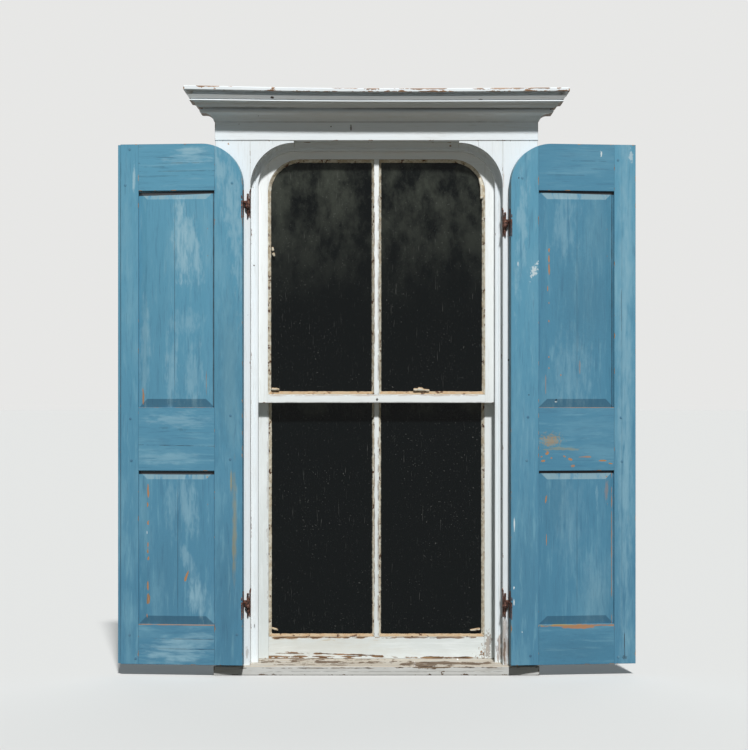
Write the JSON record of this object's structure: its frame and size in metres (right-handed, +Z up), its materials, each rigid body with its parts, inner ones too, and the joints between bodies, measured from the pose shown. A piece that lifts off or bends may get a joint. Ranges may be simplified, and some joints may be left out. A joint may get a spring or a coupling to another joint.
{
  "type": "sash window with shutters",
  "caption": "Wooden double-hung sash window in its moulded frame with sill and crown, round-cornered at the top, with a pair of raised-panel shutters that swing open on pin hinges.",
  "frame": {"origin": "on the centre line in the plane of the wall's face, level with the underside of the sill", "axes": "+Z up along the height, +Y from the street into the room, +X to the right seen from the street"},
  "size_m": [1.5796, 0.234, 1.786],
  "materials": {
    "frame_paint": "weathered off-white paint on wood",
    "shutter_paint": "weathered teal-blue paint on wood, worn to bare wood on edges",
    "bare_wood": "bare weathered wood",
    "glass": "old dusty window glass over a dark room",
    "putty": "old cracked glazing putty",
    "rusty_iron": "rusty cast iron",
    "lock_metal": "dark worn cast metal"
  },
  "bodies": {
    "frame": {"crown_cap": "frame_paint", "crown_moulding": "frame_paint", "frieze_board": "frame_paint", "head_inner_stop": "frame_paint", "head_jamb": "frame_paint", "head_outer_stop": "frame_paint", "left_casing": "frame_paint", "left_corner_block": "frame_paint", "left_corner_stop": "frame_paint", "left_crown_return": "bare_wood", "left_frame_hinges": "rusty_iron", "left_inner_stop": "frame_paint", "left_jamb": "frame_paint", "left_outer_stop": "frame_paint", "left_parting_bead": "frame_paint", "right_casing": "frame_paint", "right_corner_block": "frame_paint", "right_corner_stop": "frame_paint", "right_crown_return": "bare_wood", "right_frame_hinges": "rusty_iron", "right_inner_stop": "frame_paint", "right_jamb": "frame_paint", "right_outer_stop": "frame_paint", "right_parting_bead": "frame_paint", "sill": "frame_paint"},
    "left_shutter": {"left_shutter_bottom_rail": "shutter_paint", "left_shutter_hinge_leaves": "rusty_iron", "left_shutter_hinge_stile": "shutter_paint", "left_shutter_lock_rail": "shutter_paint", "left_shutter_lower_panel": "shutter_paint", "left_shutter_meeting_stile": "shutter_paint", "left_shutter_top_rail": "shutter_paint", "left_shutter_upper_panel": "shutter_paint"},
    "lower_sash": {"lower_bottom_rail": "frame_paint", "lower_left_stile": "frame_paint", "lower_meeting_rail": "frame_paint", "lower_muntin": "frame_paint", "lower_panes": "glass", "lower_putty": "putty", "lower_right_stile": "frame_paint", "sash_lifts": "lock_metal", "sash_lock_base": "lock_metal"},
    "right_shutter": {"right_shutter_bottom_rail": "shutter_paint", "right_shutter_hinge_leaves": "rusty_iron", "right_shutter_hinge_stile": "shutter_paint", "right_shutter_lock_rail": "shutter_paint", "right_shutter_lower_panel": "shutter_paint", "right_shutter_meeting_stile": "shutter_paint", "right_shutter_top_rail": "shutter_paint", "right_shutter_upper_panel": "shutter_paint"},
    "upper_sash": {"sash_lock_keeper": "lock_metal", "upper_left_stile": "frame_paint", "upper_meeting_rail": "frame_paint", "upper_muntin": "frame_paint", "upper_panes": "glass", "upper_putty": "putty", "upper_right_stile": "frame_paint", "upper_top_rail": "frame_paint"},
    "lock_lever": {"sash_lock_lever": "lock_metal"}
  },
  "joints": [
    {"name": "left_shutter_swing", "type": "hinge", "parent": "frame", "child": "left_shutter", "pos_m": [-0.392, -0.039, 0.8255], "axis": [0, 0, 1], "range_deg": [0, 185.5]},
    {"name": "right_shutter_swing", "type": "hinge", "parent": "frame", "child": "right_shutter", "pos_m": [0.392, -0.039, 0.797], "axis": [0, 0, -1], "range_deg": [0, 187]},
    {"name": "lower_sash_slide", "type": "slide", "parent": "frame", "child": "lower_sash", "axis": [0, 0, 1], "range_m": [0, 0.7]},
    {"name": "upper_sash_slide", "type": "slide", "parent": "frame", "child": "upper_sash", "axis": [0, 0, -1], "range_m": [0, 0.7]},
    {"name": "lock_turn", "type": "hinge", "parent": "lower_sash", "child": "lock_lever", "pos_m": [0.062, 0.078, 0.871], "axis": [0, 0, 1], "range_deg": [0, 90]}
  ]
}
